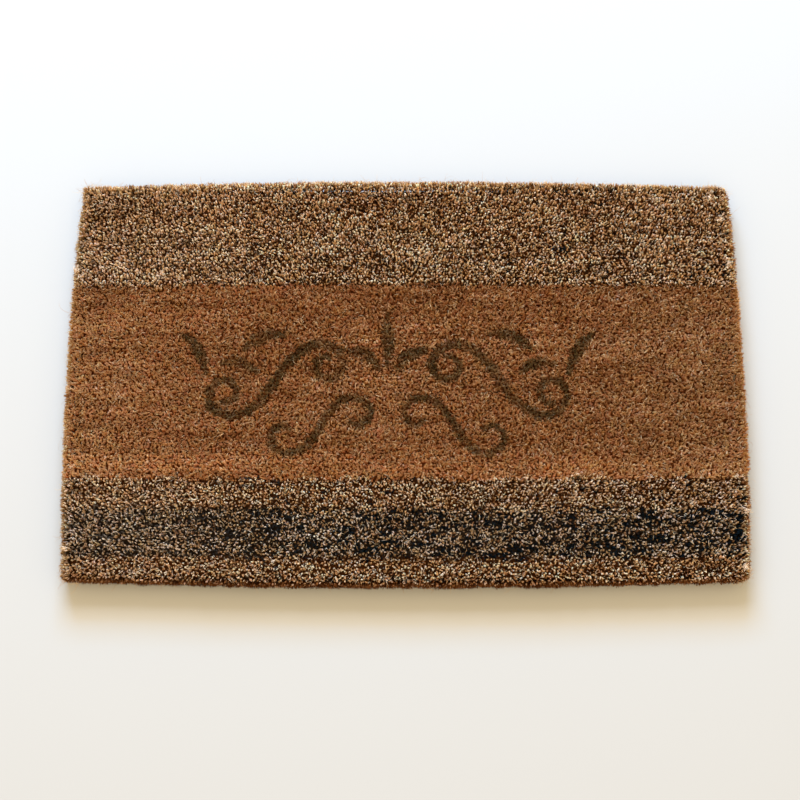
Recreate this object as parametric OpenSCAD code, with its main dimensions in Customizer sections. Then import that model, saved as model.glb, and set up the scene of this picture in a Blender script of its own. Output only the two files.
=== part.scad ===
// Handwoven coir door mat: a two-chain ground weave with rows of cut pile tufts in three bands.
// The mat lies flat. X runs along its long side, Y from front to back, Z up.
// The origin is the middle of the underside.

/* [Overall] */
// Widest size over the pile, along the weft
mat_w = 762; // [600:1:900]
// Deepest size over the pile, along the warp
mat_d = 468; // [360:1:560]
// Height from the underside to the shorn pile
mat_h = 22; // [18:0.5:30]
// How far the middle of each side bows out past its corners
side_bow = 7; // [3:0.5:10]
// Corner radius of the pile at the left
left_corner_r = 7; // [4:0.5:20]
// Corner radius of the pile at the right
right_corner_r = 12; // [4:0.5:20]

/* [Pile rows] */
// Distance from one row of tufts to the next
row_pitch = 8.6; // [8:0.1:8.6]
// Gap between neighbouring rows of tufts
row_gap = 0.2; // [0.1:0.05:0.5]
// Rows in the outer, browner part of the front band
front_edge_rows = 3; // [2:1:4]
// Blue-black rows of the front band
front_dark_rows = 6; // [4:1:7]
// Rows in the inner, cream-flecked part of the front band
front_fleck_rows = 4; // [2:1:6]
// Middle band rows in front of the stencilled ornament
middle_front_rows = 3; // [1:1:5]
// Middle band rows that take the stencil dye
middle_stencil_rows = 19; // [15:1:21]
// Middle band rows behind the stencilled ornament
middle_rear_rows = 3; // [1:1:5]
// Rows in the inner, cream-flecked part of the back band
back_fleck_rows = 7; // [4:1:9]
// Rows in the outer, browner part of the back band
back_edge_rows = 7; // [4:1:8]

/* [Ground weave] */
// Diameter of a weft pick
pick_d = 2.4; // [2:0.1:2.6]
// Thickness and width of a warp chain yarn
chain_d = 2.2; // [1.8:0.1:2.4]
// Distance from an odd chain to the next even chain
chain_pitch = 12.5; // [10:0.5:20]
// Height of the warp's bend above or below the middle of a pick
chain_rise = 1.5; // [1.45:0.05:1.6]

/* [Edges] */
// Distance from the corner of the pile's outline in to the stitched edge
edge_inset = 1.5; // [1:0.5:4]
// Width of the end braids and the selvedge cords
cord_w = 5; // [4:0.5:6]
// Height of the end braids and the selvedge cords
cord_h = 6; // [5:0.5:6.2]
// Thickness of the stitching twine
twine_d = 1.2; // [1:0.1:1.4]
// Distance from one stitch to the next
stitch_pitch = 18; // [12:1:30]
// Diameter of the knots that tie off the twine
knot_d = 2.8; // [2:0.2:3.2]

/* [Hidden] */

// Clearance between neighbouring pieces
gap = 0.1;
// Angle between the points of a corner arc
arc_step = 15;
// Points along each bowed side
side_points = 12;

// Half sizes of the pile's outline, measured at the corners
corner_x = mat_w / 2 - side_bow;
corner_y = mat_d / 2 - side_bow;
// Half sizes of the base over its stitching
base_x = corner_x - edge_inset;
base_y = corner_y - edge_inset;
// Outer and inner faces of the edge cords
cord_out_x = base_x - twine_d - gap;
cord_out_y = base_y - twine_d - gap;
cord_in_x = cord_out_x - cord_w;
cord_in_y = cord_out_y - cord_w;
// Half lengths of the picks and the chains, which stop short of the stitches
pick_half = cord_in_x - twine_d - 2 * gap;
chain_half = cord_in_y - twine_d - 2 * gap;

// The height of the picks' centres leaves room for a chain under them
pick_z = chain_rise + chain_d;
// The ground weave's thickness
ground_h = 2 * pick_z;
// The bottom of the pile
pile_z = ground_h + gap;
// The middle of a chain yarn swings this far above and below the picks' centres
chain_swing = chain_rise + chain_d / 2;

// The first row of each group, counted from the front
first_dark = front_edge_rows;
first_front_fleck = first_dark + front_dark_rows;
first_middle = first_front_fleck + front_fleck_rows;
first_stencil = first_middle + middle_front_rows;
first_rear = first_stencil + middle_stencil_rows;
first_back_fleck = first_rear + middle_rear_rows;
first_back_edge = first_back_fleck + back_fleck_rows;
row_count = first_back_edge + back_edge_rows;

// One pick lies between each two rows
pick_rows = row_count - 1;
pick_span = (pick_rows - 1) * row_pitch;
chain_pairs = floor((pick_half - chain_d) / chain_pitch);
chain_first_x = -(2 * chain_pairs - 1) * chain_pitch / 2;

coir_brown = "#8a5a2c";
yarn_brown = "#6f4a29";
twine_tan = "#a07a4a";
fleck_tan = "#8f7757";
dark_blend = "#3b3430";
edge_blend = "#6a5238";

// ---- Outline of the pile ----

// Corner arc about the centre of a corner, for the quadrant that starts at angle a
function corner_arc(sx, sy, r, a) =
    [for (t = [0 : arc_step : 90])
        [sx * (corner_x - r) + r * cos(a + t), sy * (corner_y - r) + r * sin(a + t)]];

// Bulge of a side at fraction f of the way from its middle to its corner
function bulge(f) = side_bow * (1 - f * f);

// Points inside a side, from s = -1 to 1 without its ends
function side_steps() = [for (i = [1 : side_points - 1]) -1 + 2 * i / side_points];

function right_side() = [for (s = side_steps())
    [corner_x + bulge(s), s * (corner_y - right_corner_r)]];
function left_side() = [for (s = side_steps())
    [-corner_x - bulge(s), -s * (corner_y - left_corner_r)]];
function back_side() = [for (s = side_steps()) [-s * (corner_x - right_corner_r), corner_y + bulge(s)]];
function front_side() = [for (s = side_steps()) [s * (corner_x - right_corner_r), -corner_y - bulge(s)]];

module outline() {
    polygon(concat(
        right_side(),
        corner_arc(1, 1, right_corner_r, 0),
        back_side(),
        corner_arc(-1, 1, left_corner_r, 90),
        left_side(),
        corner_arc(-1, -1, left_corner_r, 180),
        front_side(),
        corner_arc(1, -1, right_corner_r, 270)
    ));
}

// ---- Pile ----

// Front limit of a row; the outermost rows reach out to the outline
function row_start(i) = i == 0 ? -mat_d : (i - row_count / 2) * row_pitch + row_gap / 2;
function row_end(i) = i == row_count - 1 ? mat_d : (i + 1 - row_count / 2) * row_pitch - row_gap / 2;

// One row of cut tufts from side to side
module tuft_row(i) {
    intersection() {
        translate([0, 0, pile_z]) linear_extrude(mat_h - pile_z) outline();
        translate([-mat_w, row_start(i), 0]) cube([2 * mat_w, row_end(i) - row_start(i), 2 * mat_h]);
    }
}

module tuft_rows(first, count) {
    for (i = [first : first + count - 1]) tuft_row(i);
}

module front_edge_tufts() { color(edge_blend) tuft_rows(0, front_edge_rows); }
module front_dark_tufts() { color(dark_blend) tuft_rows(first_dark, front_dark_rows); }
module front_fleck_tufts() { color(fleck_tan) tuft_rows(first_front_fleck, front_fleck_rows); }
module middle_front_tufts() { color(coir_brown) tuft_rows(first_middle, middle_front_rows); }
module middle_stencil_tufts() { color(coir_brown) tuft_rows(first_stencil, middle_stencil_rows); }
module middle_rear_tufts() { color(coir_brown) tuft_rows(first_rear, middle_rear_rows); }
module back_fleck_tufts() { color(fleck_tan) tuft_rows(first_back_fleck, back_fleck_rows); }
module back_edge_tufts() { color(edge_blend) tuft_rows(first_back_edge, back_edge_rows); }

// ---- Ground weave ----

function pick_y(k) = -pick_span / 2 + k * row_pitch;

module weft_picks() {
    color(yarn_brown)
    for (k = [0 : pick_rows - 1])
        translate([-pick_half, pick_y(k), pick_z])
            rotate([0, 90, 0]) cylinder(h = 2 * pick_half, d = pick_d);
}

// Height of a chain at pick k: over one pick and under the next
function chain_z(k, phase) = pick_z + chain_swing * ((k + phase) % 2 == 0 ? 1 : -1);

// The chain's middle line, from front to back, with level ends
function chain_line(phase) = concat(
    [[-chain_half, chain_z(0, phase)]],
    [for (k = [0 : pick_rows - 1]) [pick_y(k), chain_z(k, phase)]],
    [[chain_half, chain_z(pick_rows - 1, phase)]]
);

// One warp chain: a ribbon of even thickness that zigzags over and under the picks
module chain(phase) {
    line = chain_line(phase);
    last = len(line) - 1;
    above = [for (p = line) p + [0, chain_d / 2]];
    below = [for (i = [last : -1 : 0]) line[i] - [0, chain_d / 2]];
    rotate([90, 0, 90]) linear_extrude(chain_d, center = true) polygon(concat(above, below));
}

module warp_chains(phase) {
    for (j = [0 : chain_pairs - 1])
        translate([chain_first_x + (2 * j + phase) * chain_pitch, 0, 0]) chain(phase);
}

module warp_chains_odd() { color(yarn_brown) warp_chains(0); }
module warp_chains_even() { color(yarn_brown) warp_chains(1); }

// ---- Edge cords and braids ----

// A flat-bottomed cord with a rounded top, along X and centred on the origin's line
module edge_cord(length) {
    shoulder = cord_h - cord_w / 2;
    rotate([90, 0, 90]) linear_extrude(length, center = true) {
        translate([-cord_w / 2, 0]) square([cord_w, shoulder]);
        translate([0, shoulder]) circle(d = cord_w, $fn = 48);
    }
}

cord_mid_x = (cord_in_x + cord_out_x) / 2;
cord_mid_y = (cord_in_y + cord_out_y) / 2;
// The end braids run the full width, and the selvedge cords fit between them
braid_length = 2 * cord_out_x;
selvedge_length = 2 * (cord_in_y - gap);

module front_end_braid() { color(yarn_brown) translate([0, -cord_mid_y, 0]) edge_cord(braid_length); }
module back_end_braid() { color(yarn_brown) translate([0, cord_mid_y, 0]) edge_cord(braid_length); }
module left_selvedge_cord() {
    color(yarn_brown) translate([-cord_mid_x, 0, 0]) rotate(90) edge_cord(selvedge_length);
}
module right_selvedge_cord() {
    color(yarn_brown) translate([cord_mid_x, 0, 0]) rotate(90) edge_cord(selvedge_length);
}

// ---- Stitching ----

stitch_top = ground_h;
stitch_foot = 1;

// One stitch over a cord that runs along X: two legs and the bridge between them
module stitch() {
    out = cord_w / 2 + gap;
    translate([-twine_d / 2, 0, 0]) {
        for (side = [-1, 1])
            translate([0, side > 0 ? out : -out - twine_d, stitch_foot])
                cube([twine_d, twine_d, stitch_top - stitch_foot]);
        translate([0, -out - twine_d, stitch_top - twine_d]) cube([twine_d, 2 * (out + twine_d), twine_d]);
    }
}

// Stitches on each side of the middle one in a run of this length
function stitch_steps(length) = floor(length / stitch_pitch / 2);

module stitch_line(length) {
    for (i = [-stitch_steps(length) : stitch_steps(length)]) translate([i * stitch_pitch, 0, 0]) stitch();
}

// The stitches stop short of the corners, where the cords meet
stitched_x = 2 * (cord_in_x - 2 * cord_w);
stitched_y = 2 * (cord_in_y - 2 * cord_w);

module front_braid_stitches() { color(twine_tan) translate([0, -cord_mid_y, 0]) stitch_line(stitched_x); }
module back_braid_stitches() { color(twine_tan) translate([0, cord_mid_y, 0]) stitch_line(stitched_x); }
module left_selvedge_lashing() {
    color(twine_tan) translate([-cord_mid_x, 0, 0]) rotate(90) stitch_line(stitched_y);
}
module right_selvedge_lashing() {
    color(twine_tan) translate([cord_mid_x, 0, 0]) rotate(90) stitch_line(stitched_y);
}

// A knot follows the last stitch at each end of a run, on the cord's outer face
module end_knots(length, face) {
    along = stitch_steps(length) * stitch_pitch + twine_d / 2 + gap + knot_d / 2;
    for (end = [-1, 1]) translate([end * along, face + gap + knot_d / 2, cord_h / 2]) sphere(d = knot_d);
}

module tie_off_knots() {
    color(twine_tan) {
        for (turn = [0, 180]) rotate(turn) end_knots(stitched_x, cord_out_y);
        for (turn = [90, 270]) rotate(turn) end_knots(stitched_y, cord_out_x);
    }
}

warp_chains_odd();
warp_chains_even();
weft_picks();
left_selvedge_cord();
right_selvedge_cord();
front_end_braid();
back_end_braid();
left_selvedge_lashing();
right_selvedge_lashing();
front_braid_stitches();
back_braid_stitches();
tie_off_knots();
front_edge_tufts();
front_dark_tufts();
front_fleck_tufts();
middle_front_tufts();
middle_stencil_tufts();
middle_rear_tufts();
back_fleck_tufts();
back_edge_tufts();
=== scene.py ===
"""A handwoven coir door mat: shorn pile in three bands, a ground weave, braided ends and corded sides.

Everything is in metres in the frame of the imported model: X along the weft, Y from front to back, Z up.
"""
import math
from types import SimpleNamespace

import bpy
import numpy as np
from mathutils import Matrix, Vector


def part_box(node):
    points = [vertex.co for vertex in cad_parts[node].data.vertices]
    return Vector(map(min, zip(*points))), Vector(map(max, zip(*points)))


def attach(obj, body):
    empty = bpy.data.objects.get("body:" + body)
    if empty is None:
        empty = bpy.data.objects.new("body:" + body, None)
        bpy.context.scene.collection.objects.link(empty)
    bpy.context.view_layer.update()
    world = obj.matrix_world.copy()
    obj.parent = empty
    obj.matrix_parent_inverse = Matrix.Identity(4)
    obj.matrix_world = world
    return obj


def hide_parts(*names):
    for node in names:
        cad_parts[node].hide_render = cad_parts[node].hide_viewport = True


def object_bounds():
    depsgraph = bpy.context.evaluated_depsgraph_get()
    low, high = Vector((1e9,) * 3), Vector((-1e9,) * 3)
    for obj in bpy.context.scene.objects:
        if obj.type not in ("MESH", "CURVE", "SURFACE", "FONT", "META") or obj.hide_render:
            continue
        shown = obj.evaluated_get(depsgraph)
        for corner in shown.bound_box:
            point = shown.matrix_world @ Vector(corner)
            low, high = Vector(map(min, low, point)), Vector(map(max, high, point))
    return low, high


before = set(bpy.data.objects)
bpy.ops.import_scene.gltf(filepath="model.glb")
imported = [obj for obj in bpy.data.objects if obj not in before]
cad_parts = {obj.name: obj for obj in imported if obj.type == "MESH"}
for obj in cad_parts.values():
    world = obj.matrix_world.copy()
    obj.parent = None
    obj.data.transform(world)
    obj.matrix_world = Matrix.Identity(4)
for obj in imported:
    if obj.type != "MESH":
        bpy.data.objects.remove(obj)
cad_low, cad_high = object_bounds()

MM = 0.001
# Every field of noise and every piece adds a number of its own to the seed
SEED = 20260

# ---- Sizes that repeat the CAD model's ----
SIDE_BOW = 7 * MM
LEFT_CORNER_R = 7 * MM
RIGHT_CORNER_R = 14 * MM
HALF_X = (cad_high[0] - cad_low[0]) / 2 - SIDE_BOW
HALF_Y = (cad_high[1] - cad_low[1]) / 2 - SIDE_BOW
TOP_Z = cad_high[2]
ROW_PITCH = 8.6 * MM
CHAIN_PITCH = 12.5 * MM
CHAIN_RISE = 2.6 * MM
STITCH_PITCH = 18 * MM
STITCH_LEG = 3.2 * MM
LONG_STITCHES = 39
SHORT_STITCHES = 23
KNOT_GAP = 2.1 * MM
KNOT_R = 1.4 * MM
PICK_Z = 3.7 * MM

# Rows of tufts in each CAD node, from the front edge to the back edge
ROW_GROUPS = [
    ("front_edge_tufts", 3), ("front_dark_tufts", 6), ("front_fleck_tufts", 4),
    ("middle_front_tufts", 3), ("middle_stencil_tufts", 19), ("middle_rear_tufts", 3),
    ("back_fleck_tufts", 7), ("back_edge_tufts", 7),
]
ROWS = sum(count for _, count in ROW_GROUPS)
GROUP_OF_ROW = [node for node, count in ROW_GROUPS for _ in range(count)]

# ---- Pile ----
LINES_PER_ROW = 3
LINES = ROWS * LINES_PER_ROW
TUFTS_PER_LINE = 262
FIBRES_PER_TUFT = 9
MAX_FIBRES_PER_PIECE = 24000
FIBRE_R = 0.4 * MM
ROOT_Z = 12 * MM
BED_TOP_Z = 13 * MM
TRODDEN_LEAN = 1.5 * MM
# Tufts this near the edge lean outward and are cut lower
EDGE_WIDTH = 14 * MM
EDGE_SPLAY = 4.5 * MM
EDGE_DROP = 3.2 * MM
# Fibres that stick out of the sides: how many, and the heights between which their tips lie
SIDE_FIBRES_PER_METRE = 12000
SIDE_LOW_Z, SIDE_HIGH_Z = 3 * MM, 20.2 * MM


def smooth(x):
    """0 up to 0, 1 from 1, and an S-shaped curve between them."""
    x = np.clip(x, 0, 1)
    return x * x * (3 - 2 * x)


def ramp(x, low, high):
    """0 up to low, rising smoothly to 1 at high."""
    return smooth((x - low) / (high - low))


def noise(x, y, step_x, step_y, seed):
    """Smooth random values from -1 to 1 over the plane, with one new value every step."""
    table = np.random.default_rng(seed).uniform(-1, 1, (257, 257))
    gx, gy = x / step_x + 128, y / step_y + 128
    ix, iy = np.floor(gx).astype(int), np.floor(gy).astype(int)
    fx, fy = smooth(gx - ix), smooth(gy - iy)
    ix, iy = ix % 256, iy % 256
    low = table[ix, iy] * (1 - fx) + table[ix + 1, iy] * fx
    high = table[ix, iy + 1] * (1 - fx) + table[ix + 1, iy + 1] * fx
    return low * (1 - fy) + high * fy


def spread(u, v):
    """The place on the mat of (u, v), each from -1 to 1: the sides bow and the corners are round."""
    x = u * (HALF_X + SIDE_BOW * (1 - v * v))
    y = v * (HALF_Y + SIDE_BOW * (1 - u * u))
    r = np.where(u > 0, RIGHT_CORNER_R, LEFT_CORNER_R)
    cx, cy = np.sign(u) * (HALF_X - r), np.sign(v) * (HALF_Y - r)
    dx, dy = x - cx, y - cy
    far = np.hypot(dx, dy)
    outside = (dx * np.sign(u) > 0) & (dy * np.sign(v) > 0) & (far > r)
    pull = np.where(outside, r / np.maximum(far, 1e-9), 1)
    return cx + dx * pull, cy + dy * pull


# ---- Meshes ----

def make_piece(name, points, faces_3, faces_4, uv_3, uv_4, colours, material):
    """A mesh object from triangles and quads, with one UV pair per face corner and one RGB per vertex."""
    me = bpy.data.meshes.new(name)
    corners = np.concatenate([faces_3.ravel(), faces_4.ravel()]).astype(np.int32)
    starts = np.concatenate([
        np.arange(len(faces_3)) * 3,
        len(faces_3) * 3 + np.arange(len(faces_4)) * 4,
    ]).astype(np.int32)
    me.vertices.add(len(points))
    me.loops.add(len(corners))
    me.polygons.add(len(starts))
    me.vertices.foreach_set("co", points.astype(np.float32).ravel())
    me.loops.foreach_set("vertex_index", corners)
    me.polygons.foreach_set("loop_start", starts)
    me.update(calc_edges=True)
    me.polygons.foreach_set("use_smooth", np.ones(len(starts), bool))
    layer = me.uv_layers.new(name="OFBake")
    uv = np.concatenate([uv_3.reshape(-1, 2), uv_4.reshape(-1, 2)])
    layer.uv.foreach_set("vector", uv.astype(np.float32).ravel())
    layer = me.color_attributes.new("yarn_colour", "FLOAT_COLOR", "POINT")
    rgba = np.ones((len(points), 4), np.float32)
    rgba[:, :3] = np.clip(colours, 0, 1)
    layer.data.foreach_set("color", rgba.ravel())
    me.validate()
    me.materials.append(material)
    piece = bpy.data.objects.new(name, me)
    bpy.context.scene.collection.objects.link(piece)
    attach(piece, "root")
    return piece


def tube_piece(name, centres, around, radii, colours, material):
    """Closed tubes. centres is (tubes, rings, 3), around (tubes, rings, sides, 3) with the outward
    directions, radii (tubes, rings) and colours (tubes, rings, 3)."""
    count, rings, _ = centres.shape
    sides = around.shape[2]
    points = centres[:, :, None] + radii[:, :, None, None] * around
    first = np.arange(count)[:, None] * rings * sides
    # Each tube has a UV island in a cell of its own. Long tubes have cells that run the whole way across
    margin = 0.08
    across = math.ceil(math.sqrt(count)) if rings < 20 else 1
    down = math.ceil(count / across)
    cell = np.stack([np.arange(count) % across, np.arange(count) // across], -1)

    def island(*places):
        """UV pairs in each tube's cell of these (along, round) places, each from 0 to 1."""
        inside = margin + (1 - 2 * margin) * np.array(places)
        return (cell[:, None] + inside) / [across, down]

    quads, quad_uv = [], []
    for ring in range(rings - 1):
        for k in range(sides):
            low, after = ring * sides + k, ring * sides + (k + 1) % sides
            quads.append(first + [low, after, after + sides, low + sides])
            along, beyond = ring / (rings - 1), (ring + 1) / (rings - 1)
            here, there = k / sides, (k + 1) / sides
            quad_uv.append(island((along, here), (along, there), (beyond, there), (beyond, here)))
    top = (rings - 1) * sides
    caps, cap_uv = [], []
    for k in range(1, sides - 1):
        caps.append(first + [k + 1, k, 0])
        cap_uv.append(island((0, 0.4), (0, 0.5), (0.02, 0.45)))
        caps.append(first + [top, top + k, top + k + 1])
        cap_uv.append(island((1, 0.4), (1, 0.5), (0.98, 0.45)))
    tone = np.repeat(colours[:, :, None], sides, 2)
    return make_piece(
        name, points.reshape(-1, 3), np.concatenate(caps), np.concatenate(quads),
        np.concatenate(cap_uv), np.concatenate(quad_uv), tone.reshape(-1, 3), material,
    )


def fibre_piece(name, centres, radii, colours, material, level):
    """Bristles with three sides. If level, their rings are level and their cut ends lie in the shorn face."""
    count, rings, _ = centres.shape
    rng = np.random.default_rng(len(name) + count)
    side = rng.uniform(0, 2 * math.pi, count)[:, None] + np.arange(3) * 2 * math.pi / 3
    if level:
        around = np.stack([np.cos(side), np.sin(side), 0 * side], -1)
    else:
        along = centres[:, -1] - centres[:, 0]
        along /= np.linalg.norm(along, axis=1, keepdims=True)
        a = np.cross(along, [0.31, 0.17, 0.93])
        a /= np.linalg.norm(a, axis=1, keepdims=True)
        b = np.cross(along, a)
        around = np.cos(side)[..., None] * a[:, None] + np.sin(side)[..., None] * b[:, None]
    around = np.repeat(around[:, None], rings, 1)
    return tube_piece(name, centres, around, radii, colours, material)


def yarn_piece(name, centres, radius, sides, lateral, tone, material, vary=0.25):
    """Round yarns along these centre lines. lateral is a direction that no yarn runs along."""
    count, rings, _ = centres.shape
    along = np.gradient(centres, axis=1)
    along /= np.linalg.norm(along, axis=2, keepdims=True)
    a = np.cross(along, lateral)
    a /= np.linalg.norm(a, axis=2, keepdims=True)
    b = np.cross(along, a)
    side = np.arange(sides) * 2 * math.pi / sides
    around = np.cos(side)[:, None] * a[:, :, None] + np.sin(side)[:, None] * b[:, :, None]
    rng = np.random.default_rng(SEED + len(name))
    radii = radius * (1 + 0.1 * rng.uniform(-1, 1, (count, rings)))
    # The ends taper
    radii[:, [0, -1]] *= 0.75
    wave = rng.uniform(-1, 1, (count, rings))
    wave = (wave + np.roll(wave, 1, 1) + np.roll(wave, 2, 1)) / 2
    shade = (1 + 0.15 * rng.normal(0, 1, (count, 1))) * (1 + vary * wave)
    colours = np.clip(shade, 0.4, 1.6)[..., None] * tone
    return tube_piece(name, centres, around, radii, colours, material)


def twisted(centres, offset, pitch, count, lateral, seed=0):
    """Centre lines of the plies that wind round each yarn's centre line, one turn every pitch."""
    along = np.gradient(centres, axis=1)
    step = np.linalg.norm(along, axis=2)
    along /= step[..., None]
    a = np.cross(along, lateral)
    a /= np.linalg.norm(a, axis=2, keepdims=True)
    b = np.cross(along, a)
    start = np.random.default_rng(SEED + seed).uniform(0, 2 * math.pi, len(centres))[:, None]
    turn = np.cumsum(step, 1) / pitch * 2 * math.pi + start
    plies = []
    for ply in range(count):
        angle = turn + 2 * math.pi * ply / count
        plies.append(centres + offset * (np.cos(angle)[..., None] * a + np.sin(angle)[..., None] * b))
    return np.concatenate(plies)


# ---- Materials ----

def add(tree, kind, **settings):
    """A new shader node with these settings."""
    node = tree.nodes.new(kind)
    for key, value in settings.items():
        setattr(node, key, value)
    return node


def coir_material(name, grain_scale, grain_low, roughness, gloss=0.14, bump=0.0):
    """Coconut fibre: each yarn's own colour, broken up by a fine grain."""
    mat = bpy.data.materials.new(name)
    mat.use_nodes = True
    tree = mat.node_tree
    shader = tree.nodes["Principled BSDF"]
    shader.inputs["Roughness"].default_value = roughness
    shader.inputs["Specular IOR Level"].default_value = gloss
    own = add(tree, "ShaderNodeAttribute", attribute_name="yarn_colour")
    place = add(tree, "ShaderNodeTexCoord")
    grain = add(tree, "ShaderNodeTexNoise")
    grain.inputs["Scale"].default_value = grain_scale
    grain.inputs["Detail"].default_value = 3
    tree.links.new(place.outputs["Object"], grain.inputs["Vector"])
    steps = add(tree, "ShaderNodeMapRange")
    steps.inputs["From Min"].default_value = 0.3
    steps.inputs["From Max"].default_value = 0.7
    steps.inputs["To Min"].default_value = grain_low
    steps.inputs["To Max"].default_value = 1.1
    tree.links.new(grain.outputs["Fac"], steps.inputs["Value"])
    mix = add(tree, "ShaderNodeVectorMath", operation="SCALE")
    tree.links.new(own.outputs["Color"], mix.inputs[0])
    tree.links.new(steps.outputs["Result"], mix.inputs["Scale"])
    tree.links.new(mix.outputs["Vector"], shader.inputs["Base Color"])
    if bump:
        relief = add(tree, "ShaderNodeBump")
        relief.inputs["Strength"].default_value = bump
        relief.inputs["Distance"].default_value = 0.4 * MM
        tree.links.new(grain.outputs["Fac"], relief.inputs["Height"])
        tree.links.new(relief.outputs["Normal"], shader.inputs["Normal"])
    return mat


PILE_MAT = coir_material("shorn_coir", 900, 0.82, 0.72, gloss=0.01)
BED_MAT = coir_material("tuft_roots", 500, 0.45, 0.9, gloss=0.05, bump=0.8)
YARN_MAT = coir_material("spun_coir", 1400, 0.5, 0.8)
TWINE_MAT = coir_material("waxed_twine", 1800, 0.65, 0.55)

# ---- Colours, linear RGB ----
CREAM = np.array([0.99, 0.73, 0.52])
TAN = np.array([0.645, 0.36, 0.165])
BROWN = np.array([0.285, 0.121, 0.046])
SOOT = np.array([0.026, 0.014, 0.0075])
INK_BLUE = np.array([0.007, 0.0125, 0.016])
NATURAL = np.array([0.50, 0.211, 0.076])
AMBER = np.array([0.64, 0.338, 0.138])
STRAW = np.array([0.79, 0.545, 0.315])
RUSSET = np.array([0.345, 0.119, 0.036])
BRAID = np.array([0.30, 0.135, 0.055])
TWINE = TAN * 0.7
STENCIL = np.array([0.032, 0.028, 0.010])
SLATE = np.array([0.015, 0.020, 0.022])
SPECKLE = np.array([CREAM, TAN, BROWN, SOOT])
DARK_SPECKLE = np.array([CREAM, TAN, BROWN * 0.9, SLATE])
PLAIN = np.array([STRAW, AMBER, NATURAL, RUSSET])
FRINGE = np.array([STRAW * 0.9, TAN * 0.8, NATURAL * 0.75, BROWN * 0.6])
COOL_TINT = np.array([0.97, 1.05, 1.15])
SIDE_TINT = np.array([1.06, 0.97, 0.86])
# Powers of a fibre's own brightness in each channel, which make bright fibres paler
PALER_WHEN_BRIGHT = np.array([1, 1.22, 1.55])
# The pile is paler at the back and the sides, and darker at the front, where the dark is painted shade on the
# shadowed front rim: colour factors, and their reach
EDGE_TINTS_AND_FRONT_SHADE = {
    "back": ((1.13, 1.22, 1.12), 11 * MM),
    "front": ((0.54, 0.42, 0.33), 9 * MM),
    "left": ((0.95, 1.06, 1.04), 7 * MM),
    "right": ((1.09, 1.14, 1.0), 9 * MM),
}

# Shares of the four colours in the rows of each group, and how far each group's rows tend to ink blue
BLENDS = {
    "front_edge_tufts": (SPECKLE, (0.24, 0.32, 0.25, 0.19), 0.08),
    "front_dark_tufts": (DARK_SPECKLE, (0.24, 0.31, 0.20, 0.25), 0.70),
    "front_fleck_tufts": (SPECKLE, (0.30, 0.32, 0.19, 0.19), 0.26),
    "middle_front_tufts": (PLAIN, (0.02, 0.30, 0.52, 0.16), 0.0),
    "middle_stencil_tufts": (PLAIN, (0.015, 0.22, 0.545, 0.22), 0.0),
    "middle_rear_tufts": (PLAIN, (0.01, 0.14, 0.50, 0.35), 0.0),
    "back_fleck_tufts": (SPECKLE, (0.28, 0.34, 0.21, 0.17), 0.16),
    "back_edge_tufts": (SPECKLE, (0.18, 0.39, 0.27, 0.16), 0.12),
}
# Brightness factors at the left and the right end of each group's rows
GROUP_BRIGHTNESS = {
    "front_edge_tufts": (1.12, 1.17),
    "front_dark_tufts": (0.85, 0.78),
    "front_fleck_tufts": (1.12, 0.90),
    "middle_front_tufts": (0.92, 0.91),
    "middle_stencil_tufts": (0.76, 0.75),
    "middle_rear_tufts": (0.73, 0.72),
    "back_fleck_tufts": (1.06, 1.05),
    "back_edge_tufts": (1.11, 1.03),
}

# What differs between the plain band's pile and the speckled bands'. tip is half the length and width of a
# tuft's cut end, and tuft_rough and fibre_rough are how much the heights of tufts and of their fibres vary
# The colour factor at the roots is painted shade deep in the pile: near black for the speckled pile, partly
# the roots' own darker colour, and a warm red brown in the plain pile's shaded gaps
PLAIN_PILE = SimpleNamespace(
    dyed=True, tip=(1.7 * MM, 1.2 * MM), tuft_rough=0.25 * MM, fibre_rough=0.17 * MM,
    fibre_r=FIBRE_R * 1.17, root_shade_tint=np.array([1.75, 0.98, 0.44]), fringe_colours=PLAIN,
    loose_per_m2=76000, loose_shares=(0.08, 0.30, 0.34, 0.28),
    loose_colours=np.array([STRAW, STRAW * [0.95, 0.82, 0.7], AMBER * 0.95, NATURAL]),
)
SPECKLED_PILE = SimpleNamespace(
    dyed=False, tip=(1.2 * MM, 0.85 * MM), tuft_rough=0.5 * MM, fibre_rough=0.38 * MM,
    fibre_r=FIBRE_R, root_shade_tint=np.array([0.14, 0.095, 0.05]), fringe_colours=FRINGE,
    loose_per_m2=24000, loose_shares=(0.40, 0.25, 0.20, 0.15),
    loose_colours=np.array([CREAM * 0.95, STRAW * 0.8, TAN, SOOT]),
)


def pick_colours(groups, chance):
    """A colour for each tuft or fibre of these groups, by its chance from 0 to 1."""
    colours = np.zeros(chance.shape + (3,))
    for node, (kinds, shares, _) in BLENDS.items():
        here = groups == node
        edges = np.cumsum(shares)[:-1]
        colours[here] = kinds[np.searchsorted(edges, chance[here])]
    return colours


def inked_tufts(x, line, groups, rng):
    """Which tufts are ink blue, in streaks along the rows that thin out towards the left."""
    share = np.array([BLENDS[g][2] for g in groups]) * (0.55 + 0.45 * ramp(x, -260 * MM, -60 * MM))
    streaks = noise(x, line * 1.0, 13 * MM, 1.4, SEED + 4) > 1 - 1.2 * share
    return streaks & (rng.uniform(0, 1, len(x)) < 0.66)


def tuft_brightness(x, groups, plain):
    """Each tuft's brightness factor, from its group and its place from left to right."""
    at_left, at_right = np.array([GROUP_BRIGHTNESS[g] for g in groups]).T
    bright = at_left + (at_right - at_left) * ramp(x, -250 * MM, 250 * MM)
    # The plain band is brighter towards its left end and darker towards its right
    brighter_at_left = 1.12 - 0.12 * ramp(x, -330 * MM, -210 * MM) - 0.07 * ramp(x, 0, 250 * MM)
    return bright * np.where(plain, brighter_at_left, 1)


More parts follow.
